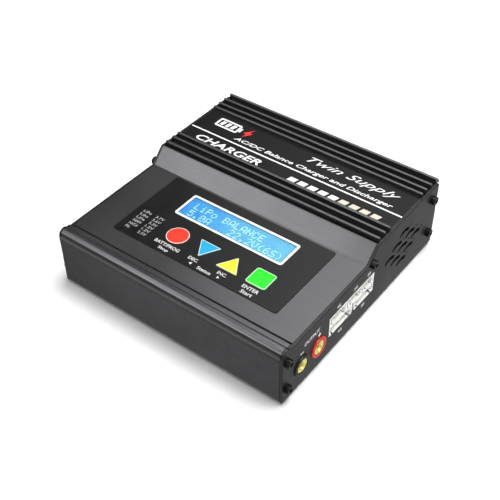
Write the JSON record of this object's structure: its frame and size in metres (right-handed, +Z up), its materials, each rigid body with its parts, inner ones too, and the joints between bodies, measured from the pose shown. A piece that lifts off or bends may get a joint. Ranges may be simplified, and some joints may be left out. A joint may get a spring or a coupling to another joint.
{
  "type": "balance battery charger",
  "caption": "Balance charger for model batteries: finned aluminium case with end plates, character display, keys, output sockets, balance ports, fan and mains inlet.",
  "frame": {"origin": "centre of the bounding box's footprint, at the underside of the rubber feet", "axes": "+X towards the output sockets and balance ports, +Y towards the finned rear, +Z up"},
  "size_m": [0.1424, 0.1422, 0.0434],
  "materials": {
    "anodised_shell": "satin dark grey anodising, fine extrusion lines",
    "end_plate": "satin dark grey anodised sheet",
    "black_screw": "black oxide",
    "rubber": "matte",
    "overlay": "printed semi-gloss film",
    "window": "clear film",
    "display_glass": "blue liquid-crystal cell",
    "backlight": "milky light guide",
    "tin_plate": "tinned sheet",
    "board_green": "solder mask",
    "key_red": "gloss",
    "key_blue": "gloss",
    "key_yellow": "gloss",
    "key_green": "gloss",
    "black_plastic": "moulded",
    "red_plastic": "moulded",
    "white_plastic": "moulded nylon",
    "gold": "gold-plated",
    "nickel": "nickel-plated",
    "copper": "enamelled wire",
    "ferrite": "sintered ferrite",
    "bare_aluminium": "mill finish",
    "capacitor_sleeve": "shrunk sleeve",
    "fibre_sheet": "pressed fibre"
  },
  "bodies": {
    "case": {"top_shell": "anodised_shell", "bottom_shell": "anodised_shell", "left_end_plate": "end_plate", "right_end_plate": "end_plate", "left_plate_screws": "black_screw", "right_plate_screws": "black_screw", "rubber_feet": "rubber", "keypad_overlay": "overlay", "lcd_window": "window", "lcd_bezel": "tin_plate", "lcd_glass": "display_glass", "lcd_backlight": "backlight", "lcd_board": "board_green", "key_board": "board_green", "display_standoffs": "bare_aluminium", "display_screws": "black_screw", "key_switches": "black_plastic", "negative_socket": "black_plastic", "positive_socket": "red_plastic", "socket_contacts": "gold", "balance_port_2s": "white_plastic", "balance_port_3s": "white_plastic", "balance_port_4s": "white_plastic", "balance_port_5s": "white_plastic", "balance_port_6s": "white_plastic", "header_pins": "gold", "balance_board": "board_green", "ac_inlet": "black_plastic", "ac_inlet_pins": "nickel", "dc_jack": "black_plastic", "dc_jack_pin": "nickel", "sensor_port": "white_plastic", "fan_frame": "black_plastic", "fan_bracket": "bare_aluminium", "fan_screws": "black_screw", "main_board": "board_green", "power_board": "board_green", "board_standoffs": "gold", "board_screws": "nickel", "insulation_sheet": "fibre_sheet", "microcontroller": "black_plastic", "mosfet_heatsink": "bare_aluminium", "mosfets": "black_plastic", "inductor_core": "ferrite", "inductor_winding": "copper", "output_capacitors": "capacitor_sleeve", "transformer_core": "ferrite", "transformer_winding": "copper", "bulk_capacitor": "capacitor_sleeve", "rectifier": "black_plastic", "power_heatsink": "bare_aluminium"},
    "stop_button": {"stop_key": "key_red", "stop_plunger": "black_plastic"},
    "dec_button": {"dec_key": "key_blue", "dec_plunger": "black_plastic"},
    "inc_button": {"inc_key": "key_yellow", "inc_plunger": "black_plastic"},
    "enter_button": {"enter_key": "key_green", "enter_plunger": "black_plastic"},
    "fan": {"fan_rotor": "black_plastic"}
  },
  "joints": [
    {"name": "stop_press", "type": "slide", "parent": "case", "child": "stop_button", "axis": [0, 0, -1], "range_m": [0, 0.0004], "stiffness_N_per_m": 1500},
    {"name": "dec_press", "type": "slide", "parent": "case", "child": "dec_button", "axis": [0, 0, -1], "range_m": [0, 0.0004], "stiffness_N_per_m": 1500},
    {"name": "inc_press", "type": "slide", "parent": "case", "child": "inc_button", "axis": [0, 0, -1], "range_m": [0, 0.0004], "stiffness_N_per_m": 1500},
    {"name": "enter_press", "type": "slide", "parent": "case", "child": "enter_button", "axis": [0, 0, -1], "range_m": [0, 0.0004], "stiffness_N_per_m": 1500},
    {"name": "fan_spin", "type": "hinge", "parent": "case", "child": "fan", "pos_m": [0.058, 0.0345, 0.0219], "axis": [1, 0, 0], "continuous": true}
  ]
}
